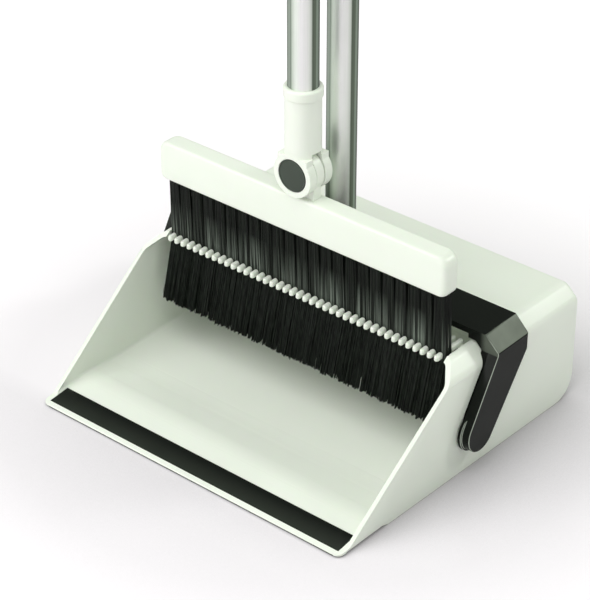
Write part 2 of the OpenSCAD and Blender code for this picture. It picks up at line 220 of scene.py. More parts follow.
def soft_rubber(name):
    """Dull dark rubber with fine lines along its length, and painted light: paler towards the lip on its
    top.
    """
    material, tree, shader = new_material(name)
    bloom = tree.noise(35, 4)
    # Painted light: the top is paler at its front edge and darker towards the rear
    split = tree.add("ShaderNodeSeparateXYZ")
    tree.feed(split.inputs[0], tree.place())
    worn_and_painted_light = tree.span(split.outputs[1], *RUBBER_PAINTED_LIGHT_Y, 1, 0)
    raised = tree.span(split.outputs[2], *RUBBER_PAINTED_LIGHT_Z, 0, 1)
    worn_and_painted_light = tree.math("MULTIPLY", tree.math("MULTIPLY", worn_and_painted_light, raised), tree.span(bloom, 0.3, 0.75, 0.75, 1))
    colour = tree.mix(worn_and_painted_light, rgba((0.003, 0.004, 0.003)), rgba((0.026, 0.032, 0.025)))
    tree.feed(shader.inputs["Base Color"], colour)
    lines = tree.noise(900, 2, (0.01, 1, 1))
    tree.feed(shader.inputs["Roughness"], tree.span(bloom, 0.3, 0.7, 0.30, 0.42))
    fine = tree.noise(1800, 2)
    normal = tree.bump(lines, 0.12, 0.00008)
    tree.feed(shader.inputs["Normal"], tree.bump(fine, 0.1, 0.00005, normal))
    shader.inputs["Specular IOR Level"].default_value = 0.2
    return material


def brushed_tube(name):
    """Brushed stainless tube: fine lines along Z, and the upright bands a tube shows under wide lights,
    painted into its colour as a reflection by how it faces the camera.
    """
    material, tree, shader = new_material(name)
    lines = tree.noise(2600, 3, (1, 1, 0.006), 0.7)
    broad = tree.noise(300, 2, (1, 1, 0.02))
    # Painted reflection: the colour follows the normal's sideways turn as seen from the camera
    normal = tree.add("ShaderNodeNewGeometry").outputs["Normal"]
    facing = tree.add(
        "ShaderNodeVectorTransform", vector_type="NORMAL", convert_from="WORLD", convert_to="CAMERA"
    )
    tree.feed(facing.inputs[0], normal)
    split = tree.add("ShaderNodeSeparateXYZ")
    tree.feed(split.inputs[0], facing.outputs[0])
    across = tree.span(split.outputs[0], -1, 1, 0, 1)
    across = tree.math("ADD", across, tree.span(broad, 0.3, 0.7, -0.006, 0.006))
    bands = tree.ramp(across, REFLECTION_BANDS)
    streak = tree.span(lines, 0.3, 0.7, 0.93, 1.05)
    colour = tree.add("ShaderNodeMix", data_type="RGBA", blend_type="MULTIPLY")
    colour.inputs[0].default_value = 1.0
    tree.feed(colour.inputs[6], bands)
    tree.feed(colour.inputs[7], streak)
    tree.feed(shader.inputs["Base Color"], colour.outputs[2])
    shader.inputs["Metallic"].default_value = 1.0
    tree.feed(shader.inputs["Roughness"], tree.span(lines, 0.3, 0.7, 0.42, 0.52))
    shader.inputs["Anisotropic"].default_value = 0.3
    tree.feed(shader.inputs["Normal"], tree.bump(lines, 0.06, 0.00004))
    return material


# Painted reflection bands: colours across a tube, from its left silhouette (0) to its right one (1)
REFLECTION_BANDS = [
    (0.000, (0.16, 0.20, 0.16)), (0.035, (0.36, 0.42, 0.36)), (0.085, (0.40, 0.47, 0.40)),
    (0.115, (0.26, 0.32, 0.26)), (0.150, (0.62, 0.70, 0.61)), (0.260, (0.92, 0.99, 0.91)),
    (0.440, (1.00, 1.00, 1.00)), (0.640, (0.98, 1.00, 0.97)), (0.740, (0.74, 0.79, 0.72)),
    (0.775, (0.14, 0.17, 0.13)), (0.880, (0.17, 0.21, 0.16)), (0.925, (0.33, 0.40, 0.33)),
    (0.960, (0.16, 0.20, 0.16)), (1.000, (0.08, 0.11, 0.08)),
]


def plated_steel(name):
    material, tree, shader = new_material(name)
    worn_and_painted_light = tree.noise(220, 4)
    colour = tree.mix(tree.span(worn_and_painted_light, 0.35, 0.7, 0, 1), rgba((0.62, 0.63, 0.62)), rgba((0.46, 0.47, 0.46)))
    tree.feed(shader.inputs["Base Color"], colour)
    shader.inputs["Metallic"].default_value = 1.0
    tree.feed(shader.inputs["Roughness"], tree.span(worn_and_painted_light, 0.3, 0.7, 0.2, 0.38))
    tree.feed(shader.inputs["Normal"], tree.bump(tree.noise(1500, 2), 0.08, 0.00004))
    return material


def nylon_bristle(name):
    """Greenish black filaments, with a soft gloss and painted pale highlight streaks above the comb."""
    material, tree, shader = new_material(name)
    strand = tree.noise(900, 1, (1, 1, 0.01))
    dark, light = rgba((0.002, 0.0028, 0.002)), rgba((0.012, 0.016, 0.012))
    colour = tree.mix(tree.span(strand, 0.35, 0.65, 0, 1), dark, light)
    split = tree.add("ShaderNodeSeparateXYZ")
    tree.feed(split.inputs[0], tree.place())
    height = split.outputs[2]
    # Painted highlight: pale streaks in the colour, between the heights where the bristles catch the light
    # above the comb
    rise = tree.span(height, *HIGHLIGHT_START_Z, 0, 1)
    fall = tree.span(height, *HIGHLIGHT_END_Z, 1, 0)
    patch = tree.span(tree.noise(55, 2, (1, 0, 0)), 0.42, 0.62, 0.15, 1)
    streak = tree.span(tree.noise(700, 2, (1, 0.2, 0.01), 0.6), 0.42, 0.60, 0, 1)
    worn_and_painted_light = tree.math("MULTIPLY", tree.math("MULTIPLY", rise, fall), tree.math("MULTIPLY", patch, streak))
    colour = tree.mix(worn_and_painted_light, colour, rgba((0.26, 0.30, 0.26)))
    tree.feed(shader.inputs["Base Color"], colour)
    tree.feed(shader.inputs["Roughness"], tree.span(strand, 0.3, 0.7, 0.30, 0.46))
    tree.feed(shader.inputs["Normal"], tree.bump(tree.noise(2500, 2, (1, 1, 0.05)), 0.15, 0.00003))
    shader.inputs["Specular IOR Level"].default_value = 0.16
    return material


def paint_edge_highlights(material, edge_highlight_colour, facet_highlight_colour):
    """Paints highlights into the bail's colour: lightens its front edges, sloped corners and outer front
    faces, found by their normals.
    """
    tree = Nodes(material.node_tree)
    shader = next(node for node in tree.tree.nodes if node.type == "BSDF_PRINCIPLED")
    colour = shader.inputs["Base Color"].links[0].from_socket
    split = tree.add("ShaderNodeSeparateXYZ")
    tree.feed(split.inputs[0], tree.add("ShaderNodeTexCoord").outputs["Normal"])
    sideways = tree.math("ABSOLUTE", split.outputs[0])
    forwards = tree.math("MULTIPLY", split.outputs[1], -1.0)
    edge = tree.span(tree.math("MULTIPLY", sideways, forwards), 0.22, 0.36, 0, 1)
    facet = tree.span(tree.math("MULTIPLY", sideways, split.outputs[2]), 0.40, 0.49, 0, 1)
    highlight_patchiness = tree.span(tree.noise(45, 3), 0.3, 0.7, 0.75, 1.0)
    place = tree.add("ShaderNodeSeparateXYZ")
    tree.feed(place.inputs[0], tree.place())
    outside = tree.span(tree.math("ABSOLUTE", place.outputs[0]), *BAIL_ARM_X, 0, 1)
    front = tree.math("MULTIPLY", tree.span(forwards, 0.85, 0.98, 0, 1), outside)
    front = tree.math("MULTIPLY", front, tree.span(place.outputs[2], *BAIL_ARM_Z, 0, 1))
    # Painted light on the outer front faces, painted highlights on the sloped corners and the front edges
    colour = tree.mix(front, colour, rgba([c * 0.55 for c in facet_highlight_colour]))
    colour = tree.mix(tree.math("MULTIPLY", facet, highlight_patchiness), colour, rgba(facet_highlight_colour))
    colour = tree.mix(tree.math("MULTIPLY", edge, highlight_patchiness), colour, rgba(edge_highlight_colour))
    tree.feed(shader.inputs["Base Color"], colour)
    return material


# The seventh number given to each plastic is how much painted shade darkens its crevices
WHITE = moulded_plastic(
    "white_plastic", (0.885, 0.925, 0.845), (0.87, 0.91, 0.83), 0.32, 1500, 0.08, 0.10, subsurface=0.10
)
PAN_WHITE = moulded_plastic(
    "pan_plastic", (0.905, 0.945, 0.865), (0.89, 0.93, 0.85), 0.32, 1500, 0.08, 0.06, subsurface=0.10
)
CHARCOAL = moulded_plastic(
    "charcoal_plastic", (0.0105, 0.013, 0.0105), (0.008, 0.010, 0.008), 0.24, 1300, 0.10, 0.3, 0.12, 0.01
)
# The bail's last two colours are painted highlights: one for its front edges, one for its sloped corners
# and front faces
BAIL_PLASTIC = paint_edge_highlights(
    moulded_plastic(
        "bail_plastic", (0.0075, 0.0095, 0.0075), (0.006, 0.0075, 0.006), 0.24, 1300, 0.10, 0.3, 0.10, 0.01
    ), (0.46, 0.50, 0.44), (0.20, 0.225, 0.185)
)
CAP_PLASTIC = moulded_plastic(
    "cap_plastic", (0.050, 0.066, 0.050), (0.040, 0.052, 0.040), 0.34, 1300, 0.10, 0.4, 0.3, 0.03
)
RUBBER = soft_rubber("soft_rubber")
TUBE = brushed_tube("brushed_tube")
STEEL = plated_steel("fastener_steel")
BRISTLE = nylon_bristle("bristle_nylon")
SLOT_MATERIALS = {
    "white_plastic": WHITE, "charcoal_plastic": CHARCOAL, "soft_rubber": RUBBER,
    "brushed_tube": TUBE, "fastener_steel": STEEL, "bristle_nylon": BRISTLE,
}
NODE_SLOT = {part["node"]: part["material_slot"] for part in frame["record"]["subparts"]}
NODE_BODY = {node: obj["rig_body"] for node, obj in NODES.items()}


# ---------------------------------------------------------------- mesh helpers

def finish_piece(name, bm, node, sharp=32):
    """Turns a bmesh into a piece that stands for a CAD node and rides on its body."""
    bmesh.ops.recalc_face_normals(bm, faces=bm.faces)
    for face in bm.faces:
        face.smooth = True
    for edge in bm.edges:
        edge.smooth = len(edge.link_faces) == 2 and edge.calc_face_angle(0) < math.radians(sharp)
    mesh = bpy.data.meshes.new(name)
    bm.to_mesh(mesh)
    bm.free()
    piece = bpy.data.objects.new(name, mesh)
    bpy.context.scene.collection.objects.link(piece)
    mesh.materials.append(SLOT_MATERIALS[NODE_SLOT[node]])
    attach(piece, NODE_BODY[node])
    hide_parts(node)
    return piece


def cad_shape(node):
    """The CAD node's shape as one clean closed bmesh, with its flat faces joined up."""
    bm = bmesh.new()
    bm.from_mesh(NODES[node].data)
    bmesh.ops.remove_doubles(bm, verts=bm.verts, dist=0.002 * MM)
    bmesh.ops.dissolve_limit(bm, angle_limit=math.radians(0.5), verts=bm.verts, edges=bm.edges)
    return bm


def soften(piece, width, segments=3, angle=30, weights=None):
    """Rounds a piece's edges. weights(edge middle, face normals) gives an edge's share of the width."""
    bevel = piece.modifiers.new("soft_edges", "BEVEL")
    bevel.width = width
    bevel.segments = segments
    bevel.use_clamp_overlap = weights is None
    bevel.harden_normals = True
    bevel.miter_outer = "MITER_SHARP"
    if weights is None:
        bevel.limit_method = "ANGLE"
        bevel.angle_limit = math.radians(angle)
    else:
        bevel.limit_method = "WEIGHT"
        bm = bmesh.new()
        bm.from_mesh(piece.data)
        layer = bm.edges.layers.float.new("bevel_weight_edge")
        for edge in bm.edges:
            if len(edge.link_faces) == 2 and edge.calc_face_angle(0) > math.radians(angle):
                middle = (edge.verts[0].co + edge.verts[1].co) / 2
                normals = [face.normal for face in edge.link_faces]
                edge[layer] = weights(middle, normals)
        bm.to_mesh(piece.data)
        bm.free()
    return piece


def softened_copy(name, node, width, segments=3, angle=30, weights=None):
    """A piece with the CAD node's shape and rounded edges."""
    return soften(finish_piece(name, cad_shape(node), node), width, segments, angle, weights)


ON_AXIS = 1e-7


def add_lathe(bm, outline, axis="Z", at=(0, 0, 0), steps=64):
    """Turns a closed (radius, height) outline round an axis through a point."""
    turn = {"Z": Matrix.Identity(4), "Y": Matrix.Rotation(-math.pi / 2, 4, "X"),
            "X": Matrix.Rotation(math.pi / 2, 4, "Y")}[axis]
    move = Matrix.Translation(at) @ turn
    rings = []
    for radius, height in outline:
        if radius < ON_AXIS:
            rings.append([bm.verts.new(move @ Vector((0, 0, height)))])
            continue
        ring = []
        for i in range(steps):
            angle = 2 * math.pi * i / steps
            x, y = radius * math.cos(angle), radius * math.sin(angle)
            ring.append(bm.verts.new(move @ Vector((x, y, height))))
        rings.append(ring)
    closed = outline[0][0] > ON_AXIS or outline[-1][0] > ON_AXIS
    pairs = list(zip(rings, rings[1:])) + ([(rings[-1], rings[0])] if closed else [])
    for a, b in pairs:
        for i in range(steps):
            corners = [a[i % len(a)], a[(i + 1) % len(a)], b[(i + 1) % len(b)], b[i % len(b)]]
            unique = list(dict.fromkeys(corners))
            if len(unique) > 2:
                bm.faces.new(unique)
    return bm


def arc(centre, radius, start, end, steps=5):
    """Points (radius, height) on an arc, angles in degrees."""
    points = []
    for i in range(steps + 1):
        angle = math.radians(start + (end - start) * i / steps)
        points.append((centre[0] + radius * math.cos(angle), centre[1] + radius * math.sin(angle)))
    return points


def prism(outline, half_width):
    """A closed mesh: a (y, z) outline drawn out along X."""
    bm = bmesh.new()
    ends = [[bm.verts.new((x, y, z)) for y, z in outline] for x in (-half_width, half_width)]
    count = len(outline)
    for k in range(count):
        n = (k + 1) % count
        bm.faces.new((ends[0][k], ends[0][n], ends[1][n], ends[1][k]))
    bm.faces.new(list(reversed(ends[0])))
    bm.faces.new(ends[1])
    bmesh.ops.recalc_face_normals(bm, faces=bm.faces)
    return bm


def slice_off(bm, point, normal):
    """Removes what lies on the normal's side of a plane and closes the cut."""
    cut = bmesh.ops.bisect_plane(
        bm, geom=bm.verts[:] + bm.edges[:] + bm.faces[:], plane_co=point, plane_no=normal, clear_outer=True
    )
    bmesh.ops.contextual_create(bm, geom=[e for e in cut["geom_cut"] if isinstance(e, bmesh.types.BMEdge)])


def box_tool(low, high):
    """A box to carve with."""
    bm = bmesh.new()
    add_box(bm, low, high)
    return solid(bm)


def add_box(bm, low, high):
    made = bmesh.ops.create_cube(bm, size=1)
    size = Vector(high) - Vector(low)
    middle = (Vector(high) + Vector(low)) / 2
    for vert in made["verts"]:
        vert.co = Vector((vert.co.x * size.x, vert.co.y * size.y, vert.co.z * size.z)) + middle


def join_rings(bm, rings):
    """Joins rings of vertices, each to the next, and closes both ends."""
    for a, b in zip(rings, rings[1:]):
        for k in range(len(a)):
            n = (k + 1) % len(a)
            bm.faces.new((a[k], a[n], b[n], b[k]))
    bm.faces.new(list(reversed(rings[0])))
    bm.faces.new(rings[-1])


def slice_sides(bm, inset):
    """Cuts a prism to the pan's leaning sides and the sloped corners above them."""
    lean = math.radians(SIDE_LEAN)
    for side in (-1, 1):
        out = Vector((side * math.cos(lean), -math.sin(lean), 0))
        foot = Vector((side * PAN_WIDTH / 2, SIDE_START_Y, 0)) - out * inset
        slice_off(bm, foot, out)
        slope = (out + Vector((0, 0, 1))).normalized()
        corner = Vector((side * PAN_WIDTH / 2, SIDE_START_Y, PAN_HEIGHT - PAN_CHAMFER)) - slope * inset
        slice_off(bm, corner, slope)


def solid(bm, weights=None, width=1.0, segments=4, angle=4):
    """A temporary object from a bmesh, with its edges rounded by weight."""
    mesh = bpy.data.meshes.new("temporary")
    bmesh.ops.recalc_face_normals(bm, faces=bm.faces)
    bm.to_mesh(mesh)
    bm.free()
    piece = bpy.data.objects.new("temporary", mesh)
    bpy.context.scene.collection.objects.link(piece)
    if weights:
        soften(piece, width, segments, angle, weights)
        apply_modifiers(piece)
    return piece


def apply_modifiers(piece):
    """Replaces a piece's mesh by the one its modifiers make."""
    graph = bpy.context.evaluated_depsgraph_get()
    made = bpy.data.meshes.new_from_object(piece.evaluated_get(graph))
    piece.modifiers.clear()
    piece.data = made


def carve(piece, tool, operation="DIFFERENCE"):
    """Takes a tool's volume away from a piece, or adds it, and removes the tool."""
    boolean = piece.modifiers.new("carve", "BOOLEAN")
    boolean.operation = operation
    boolean.solver = "EXACT"
    boolean.object = tool
    apply_modifiers(piece)
    bpy.data.objects.remove(tool)


# ---------------------------------------------------------------- pan

PAN_WIDTH = 280 * MM
PAN_HEIGHT = 92.8 * MM
PAN_CHAMFER = 11 * MM
PAN_WALL = 3 * MM
SIDE_LEAN = 1.45
NOSE_Y = -131 * MM
REAR_Y = 131 * MM
SIDE_START_Y = NOSE_Y + 3 * MM
BLADE_FRONT = (NOSE_Y + 3.8 * MM, 2.8 * MM)
BLADE_REAR = (NOSE_Y + 22 * MM, 4.6 * MM)
BLADE_DEPTH = 0.9 * MM
BLADE_HALF = 136 * MM
RIM_START = (NOSE_Y + 11.3 * MM, 3.6 * MM)
RIM_SLOPE = 0.765
FLANGE_X = 129 * MM
ROOF_Y = 34 * MM
FLOOR_Z = 3.5 * MM
REAR_RADIUS = 20 * MM
TOP_REAR_RADIUS = 4 * MM
LIP_RADIUS = 5 * MM
OUTER_EDGE = 3.2 * MM
INNER_EDGE = 8 * MM
RIM_EDGE = 0.6 * MM
LOWER_EDGE_SHARE = 0.25
UPRIGHT_EDGE_SHARE = 0.9
PIVOT = (8 * MM, 33.5 * MM)
BORE_RADIUS = 5.06 * MM
COMB_SEAT_Y = (13.45 * MM, 20.05 * MM)
COMB_SEAT_HEIGHT = 5.05 * MM
COMB_SEAT_LENGTH = 10 * MM
SNAP_GAP = 0.05 * MM
# How far a carving tool reaches past what it carves
SPARE = 1 * MM
UNDERSIDE = [
    (NOSE_Y, 1.2 * MM), (NOSE_Y + 7 * MM, 1.2 * MM), (NOSE_Y + 8 * MM, 1.8 * MM),
    (NOSE_Y + 45 * MM, 1.8 * MM), (NOSE_Y + 51 * MM, 0),
]


def round_corner(corner, radius, start, steps):
    """Points on a quarter circle inside a rear corner: the lower one from -90 degrees, the upper from 0."""
    y, z = corner
    centre = (y - radius, z + radius if start < 0 else z - radius)
    return arc(centre, radius, start, start + 90, steps)


def pan():
    """The pan's shell: a soft-cornered box, hollowed, cut obliquely in front and open before the roof."""
    peak_y = RIM_START[0] + (PAN_HEIGHT - RIM_START[1]) / RIM_SLOPE
    outline = UNDERSIDE + round_corner((REAR_Y, 0), REAR_RADIUS, -90, 16)
    outline += round_corner((REAR_Y, PAN_HEIGHT), TOP_REAR_RADIUS, 0, 6)
    outline += [(peak_y, PAN_HEIGHT), RIM_START, BLADE_FRONT, (NOSE_Y + 0.6 * MM, 2.2 * MM)]
    shell = prism(outline, PAN_WIDTH)
    slice_sides(shell, 0)
    shell = solid(shell, outer_weights, OUTER_EDGE, 5)
    carve(shell, pan_hollow())
    front = (-FLANGE_X, ROOF_Y - 60 * MM, PAN_HEIGHT - PAN_WALL - SPARE)
    carve(shell, box_tool(front, (FLANGE_X, ROOF_Y, PAN_HEIGHT + 10 * MM)))
    bed = [BLADE_FRONT, BLADE_REAR]
    lifted = [(y, z + 2 * MM) for y, z in reversed(bed)]
    sunk = [(y, z - BLADE_DEPTH) for y, z in bed]
    carve(shell, solid(prism(sunk + lifted, BLADE_HALF)))
    bore = bmesh.new()
    bore_outline = [(0, -PAN_WIDTH), (BORE_RADIUS, -PAN_WIDTH), (BORE_RADIUS, PAN_WIDTH), (0, PAN_WIDTH)]
    add_lathe(bore, bore_outline, "X", (0, *PIVOT))
    carve(shell, solid(bore))
    comb_low, comb_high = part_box("cleaning_comb")
    for side in (-1, 1):
        ends = sorted((side * comb_high.x + side * SNAP_GAP, side * (comb_high.x - COMB_SEAT_LENGTH)))
        low = (ends[0], COMB_SEAT_Y[0], comb_low.z)
        carve(shell, box_tool(low, (ends[1], COMB_SEAT_Y[1], comb_low.z + COMB_SEAT_HEIGHT)))
        carve(shell, corner_tool(side))
    bm = bmesh.new()
    bm.from_mesh(shell.data)
    bpy.data.objects.remove(shell)
    bmesh.ops.remove_doubles(bm, verts=bm.verts, dist=0.01 * MM)
    piece = finish_piece("pan_shell", bm, "pan_body")
    piece.data.materials[0] = PAN_WHITE
    return soften(piece, RIM_EDGE, 3, 40, rim_weights)


def corner_tool(side):
    """What lies outside the rounded front corner of the lip."""
    bm = bmesh.new()
    centre = Vector((side * (PAN_WIDTH / 2 - LIP_RADIUS), NOSE_Y + LIP_RADIUS, 0))
    reach = LIP_RADIUS * 2
    loop = []
    for k in range(9):
        angle = math.pi / 2 * k / 8
        loop.append(centre + Vector((side * math.sin(angle), -math.cos(angle), 0)) * LIP_RADIUS)
    for x, y in ((reach, 0), (reach, -reach), (0, -reach)):
        loop.append(centre + Vector((side * x, y, 0)))
    bottom = [bm.verts.new(p - Vector((0, 0, SPARE))) for p in loop]
    top = [bm.verts.new(p + Vector((0, 0, PAN_HEIGHT / 2))) for p in loop]
    join_rings(bm, [bottom, top])
    return solid(bm)


def outer_weights(middle, normals):
    """Soft upper and rear corners, finer round the lower rear. The lip and oblique rim stay sharp."""
    sideways = [abs(n.x) for n in normals]
    if max(sideways) < 0.3:
        return 0.0
    if all(s > 0.3 for s in sideways):
        return 1.0
    rim = any(n.y < -0.3 and n.z > 0.3 for n in normals)
    if rim or middle.y < NOSE_Y + 12 * MM:
        return 0.0
    lowest = min(n.z for n in normals)
    if middle.y < 0 and lowest < -0.9:
        return LOWER_EDGE_SHARE
    turned = math.acos(min(1.0, -lowest)) / (math.pi / 2) if lowest < 0 else 1.0
    return LOWER_EDGE_SHARE + (UPRIGHT_EDGE_SHARE - LOWER_EDGE_SHARE) * turned


def hollow_weights(middle, normals):
    """Fine fillets where the floor meets the sides, and a soft crest along the ramp."""
    sideways = [abs(n.x) for n in normals]
    if max(sideways) < 0.3:
        return 1.0 if middle.z < 10 * MM and abs(middle.y) < 100 * MM else 0.0
    return LOWER_EDGE_SHARE


def pan_hollow():
    """The space inside the pan, from in front of the lip to the rear wall."""
    inner_rear = REAR_Y - PAN_WALL
    before_lip = NOSE_Y - 10 * MM
    crest = (NOSE_Y + 43 * MM, 7.15 * MM)
    outline = [(before_lip, 2.0 * MM), BLADE_FRONT, crest, (NOSE_Y + 76 * MM, FLOOR_Z)]
    outline += round_corner((inner_rear, FLOOR_Z), REAR_RADIUS - PAN_WALL, -90, 12)
    outline += [(inner_rear, PAN_HEIGHT - PAN_WALL), (before_lip, PAN_HEIGHT - PAN_WALL)]
    bm = prism(outline, PAN_WIDTH)
    slice_sides(bm, PAN_WALL)
    return solid(bm, hollow_weights, INNER_EDGE, 4)


def rim_weights(middle, normals):
    """Rounds the oblique rims, the flanges and the roof's front edge."""
    near = 0.05 * MM
    rim_z = RIM_START[1] + (middle.y - RIM_START[0]) * RIM_SLOPE
    on_rim = abs(middle.z - rim_z) < near and middle.y > RIM_START[0] + 1 * MM
    at_roof = middle.z > PAN_HEIGHT - 4 * MM and abs(middle.y - ROOF_Y) < near
    at_flange = middle.z > PAN_HEIGHT - 12 * MM and abs(abs(middle.x) - FLANGE_X) < near
    return 1.0 if on_rim or at_roof or at_flange else 0.0


# ---------------------------------------------------------------- comb and bail

COMB_PITCH = 6.18 * MM
FINGER_COUNT = 41
FINGER_HALF = 1.9 * MM
FINGER_THICK = 3.8 * MM
FINGER_ROOT = 0.3 * MM
# Along a finger, from its front end
FRONT_PAD_END = 7.8 * MM
REAR_PAD_START = 14 * MM
BEAM_Y = (23 * MM, 29.5 * MM)
NECK_HALF = 1.3 * MM
NECK_DROP = 1.6 * MM
# A finger's side, as (share of its height, millimetres inside its widest line)
FINGER_SIDE = [
    (0.0, 0.3), (0.08, 0.08), (0.2, 0.0), (0.62, 0.0), (0.78, 0.12), (0.9, 0.38), (0.97, 0.7), (1.0, 1.15),
]


def comb():
    """The cleaning comb: a cross beam under fingers, each two round pads joined by a lower neck."""
    low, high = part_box("cleaning_comb")
    finger_low = high.z - FINGER_THICK
    bm = bmesh.new()
    add_box(bm, (low.x, low.y + BEAM_Y[0], low.z), (high.x, low.y + BEAM_Y[1], finger_low))
    for i in range(FINGER_COUNT):
        x = (i - (FINGER_COUNT - 1) / 2) * COMB_PITCH
        for y_low, y_high in ((low.y, low.y + FRONT_PAD_END), (low.y + REAR_PAD_START, high.y)):
            add_pad(bm, x, y_low, y_high, finger_low - FINGER_ROOT, high.z)
        neck_low = (x - NECK_HALF, low.y + 3 * MM, finger_low)
        add_box(bm, neck_low, (x + NECK_HALF, high.y - 5 * MM, high.z - NECK_DROP))
    return finish_piece("comb", bm, "cleaning_comb", 40)


def add_pad(bm, x, y_low, y_high, z_low, z_high):
    """A part of a finger with round ends in plan and a crowned top."""
    rings = []
    for share, inset in FINGER_SIDE:
        r = FINGER_HALF - inset * MM
        z = z_low + (z_high - z_low) * share
        ring = []
        for centre, turn in ((y_low + FINGER_HALF, math.pi), (y_high - FINGER_HALF, 0.0)):
            for k in range(9):
                angle = turn + math.pi * k / 8
                ring.append(bm.verts.new((x + r * math.cos(angle), centre + r * math.sin(angle), z)))
        rings.append(ring)
    join_rings(bm, rings)


BAIL_EDGE = 2.0 * MM
FINE_EDGE_SHARE = 0.35
SPIGOT_HALF = 14.5 * MM
SPIGOT_FOOT_Z = 100 * MM
EYE_INNER_X = 146.6 * MM
EYE_TOP_Z = 60 * MM
SHOULDER = 12 * MM


def bail():
    """The bail: a wide soft edge along its rear and crisp front edges, whose highlights its material
    paints.
    """
    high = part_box("bail")[1]

    def weights(middle, normals):
        if abs(middle.x) < SPIGOT_HALF and middle.z > SPIGOT_FOOT_Z:
            return 0.0
        if abs(middle.x) < EYE_INNER_X and middle.z < EYE_TOP_Z:
            return 0.0
        outer = middle.z > SPIGOT_FOOT_Z or abs(middle.x) > high.x - SHOULDER
        if middle.y > high.y - 1 * MM and outer:
            return 1.0
        return FINE_EDGE_SHARE
    piece = softened_copy("bail_band", "bail", BAIL_EDGE, 4, 20, weights)
    piece.data.materials[0] = BAIL_PLASTIC
    return piece


# ---------------------------------------------------------------- brush block and its swivel

BLOCK_EDGE = 2 * MM
BLOCK_END = 4.5 * MM
BLOCK_TOP_CORNER = 8.5 * MM
BLOCK_LOW_CORNER = 4.5 * MM
TONGUE_HALF = 13 * MM
SLIP = 0.12 * MM


def block():
    """The brush's block: a soft-edged bar with a slot for the tufts' strip and a pocket for the tongue."""
    low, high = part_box("head_block")
    bar = solid(rounded_bar(low, high))
    strip_low, strip_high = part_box("bristle_base")
    slack = Vector((SLIP, SLIP, 0))
    carve(bar, box_tool(strip_low - slack - Vector((0, 0, MM)), strip_high + slack + Vector((0, 0, SLIP))))
    tongue_low, tongue_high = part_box("swivel_tongue")
    reach = TONGUE_HALF + SLIP
    pocket_low = Vector((-reach, tongue_low.y - SLIP, tongue_low.z - SLIP))
    carve(bar, box_tool(pocket_low, Vector((reach, tongue_high.y + SLIP, high.z + SPARE))))
    bm = bmesh.new()
    bm.from_mesh(bar.data)
    bpy.data.objects.remove(bar)
    return finish_piece("brush_block", bm, "head_block", 40)


def rounded_bar(low, high):
    """A bar lofted from front to rear, whose rings shrink towards both faces."""
    steps = 10
    depths = [BLOCK_END * (1 - math.cos(math.pi / 2 * k / steps)) for k in range(steps + 1)]
    levels = [low.y + d for d in depths] + [high.y - d for d in reversed(depths)]
    bm = bmesh.new()
    rings = []
    for y in levels:
        depth = min(y - low.y, high.y - y)
        narrow = shrink(BLOCK_END, depth)
        thin = shrink(BLOCK_EDGE, depth)
        outline = bar_outline(high.x - narrow, low.z + thin, high.z - thin, thin)
        rings.append([bm.verts.new((x, y, z)) for x, z in outline])
    join_rings(bm, rings)
    return bm


def shrink(radius, depth):
    """How far a rounded edge lies inside its corner, at a depth from the face."""
    if depth >= radius:
        return 0.0
    return radius - math.sqrt(max(0.0, radius * radius - (radius - depth) ** 2))


def bar_outline(half, bottom, top, inset):
    """The bar's (x, z) outline with round corners, anticlockwise from the lower right."""
    upper = BLOCK_TOP_CORNER - inset
    lower = BLOCK_LOW_CORNER - inset
    points = arc((half - lower, bottom + lower), lower, -90, 0, 8)
    points += arc((half - upper, top - upper), upper, 0, 90, 10)
    points += arc((-half + upper, top - upper), upper, 90, 180, 10)
    points += arc((-half + lower, bottom + lower), lower, 180, 270, 8)
    return points


CAP_ROUND = 0.5 * MM
CAP_GROOVE = [(1.0 * MM, 0.12 * MM), (1.25 * MM, 0.38 * MM)]
DOME_INSET = 1.6 * MM
DOME_FOOT = 0.34 * MM
DOME_RISE = 0.24 * MM


def domed_cap(name, node, way):
    """A dark button with a fine rim and a shallow dome, facing along Y (way 1) or against it (-1)."""
    low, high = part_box(node)
    radius = (high.x - low.x) / 2
    depth = high.y - low.y
    centre = ((low.x + high.x) / 2, low.y if way > 0 else high.y, (low.z + high.z) / 2)
    outline = [(0, 0), (radius, 0)]
    outline += arc((radius - CAP_ROUND, depth - CAP_ROUND), CAP_ROUND, 0, 90, 4)
    outline += [(radius - inset, depth - drop) for inset, drop in CAP_GROOVE]
    steps = 8
    for i in range(steps + 1):
        share = 1 - i / steps
        drop = DOME_FOOT - DOME_RISE * (1 - share * share)
        outline.append(((radius - DOME_INSET) * share, depth - drop))
    bm = bmesh.new()
    add_lathe(bm, [(r, h * way) for r, h in outline], "Y", centre, 96)
    piece = finish_piece(name, bm, node, 50)
    piece.data.materials[0] = CAP_PLASTIC
    return piece


# ---------------------------------------------------------------- grips

GRIP_BORE = 11.1 * MM
GRIP_BORE_DEPTH = 70 * MM
GRIP_END = 12 * MM
CAP_BORE = 8.05 * MM
GRIP_FOOT_ROUND = 2 * MM
GRIP_TOP_ROUND = 3 * MM
WAIST_HEIGHT = 54 * MM
WAIST_RADIUS = 900 * MM
WAIST_DEPTH = 1.6 * MM
GROOVE_PITCH = 5 * MM
GROOVE_DEPTH = 0.55 * MM
# Half the groove's width, at the surface and at its bottom
GROOVE_MOUTH = 1.0 * MM
GROOVE_FLOOR = 0.3 * MM


